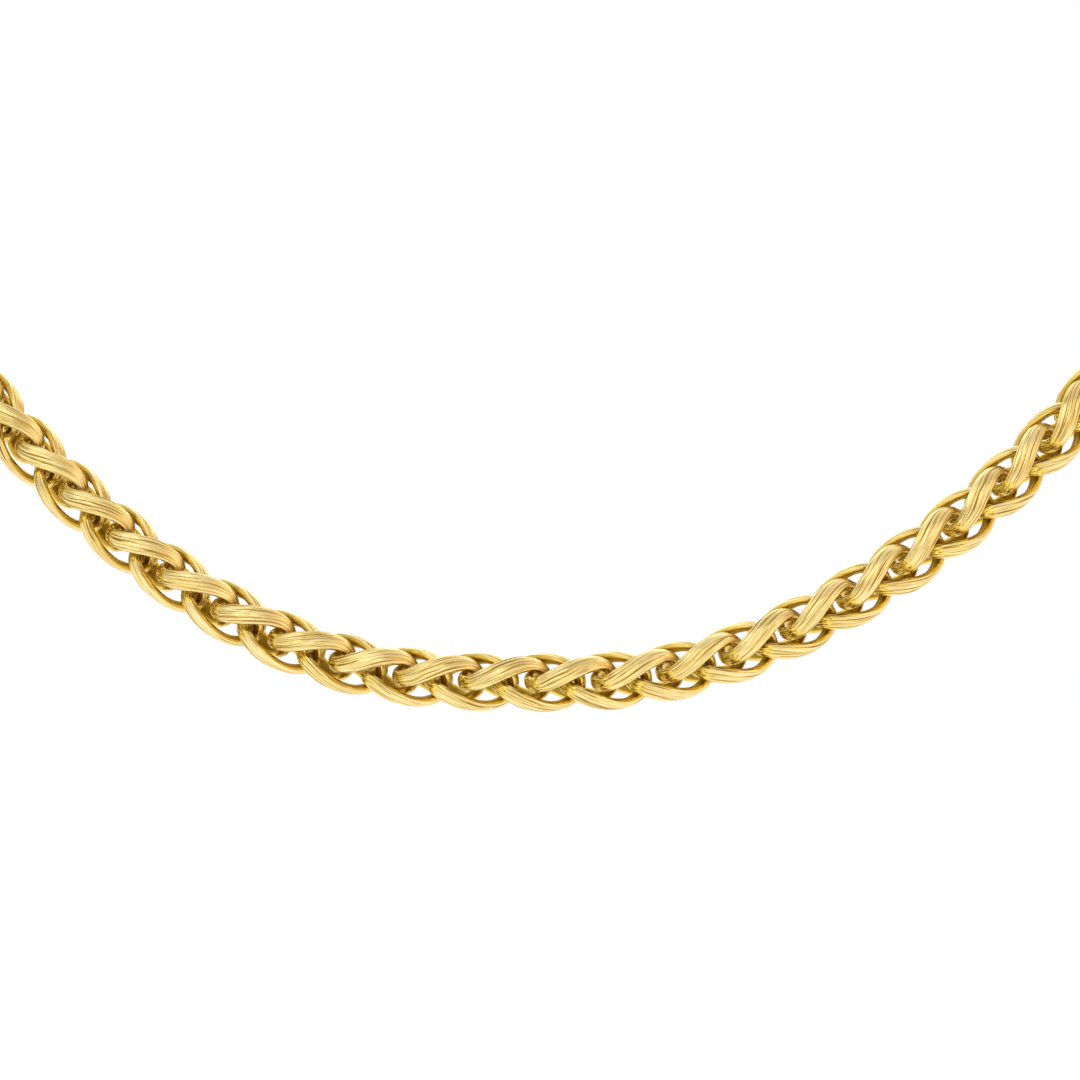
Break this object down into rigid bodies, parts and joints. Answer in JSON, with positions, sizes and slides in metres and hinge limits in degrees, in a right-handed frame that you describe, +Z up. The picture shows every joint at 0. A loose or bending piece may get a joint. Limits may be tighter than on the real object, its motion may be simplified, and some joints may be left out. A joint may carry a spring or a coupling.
{
  "type": "braided chain necklace",
  "caption": "Braided wheat chain necklace of flattened, finely ribbed gold links, hung as worn and closed by a plain barrel clasp.",
  "frame": {"origin": "middle of the hollow for the neck, level with the clasp", "axes": "+X across the neck to the right as seen from the front, +Y towards the nape, +Z up"},
  "size_m": [0.1512, 0.1092, 0.092],
  "materials": {
    "ribbed_gold": "yellow gold, satin and finely ribbed on the outer faces of the wire, polished on its edges and inner faces",
    "plain_gold": "yellow gold, turned and softly polished"
  },
  "bodies": {
    "root": {"right_twist_links": "ribbed_gold", "left_twist_links": "ribbed_gold", "barrel_clasp": "plain_gold"}
  },
  "joints": []
}
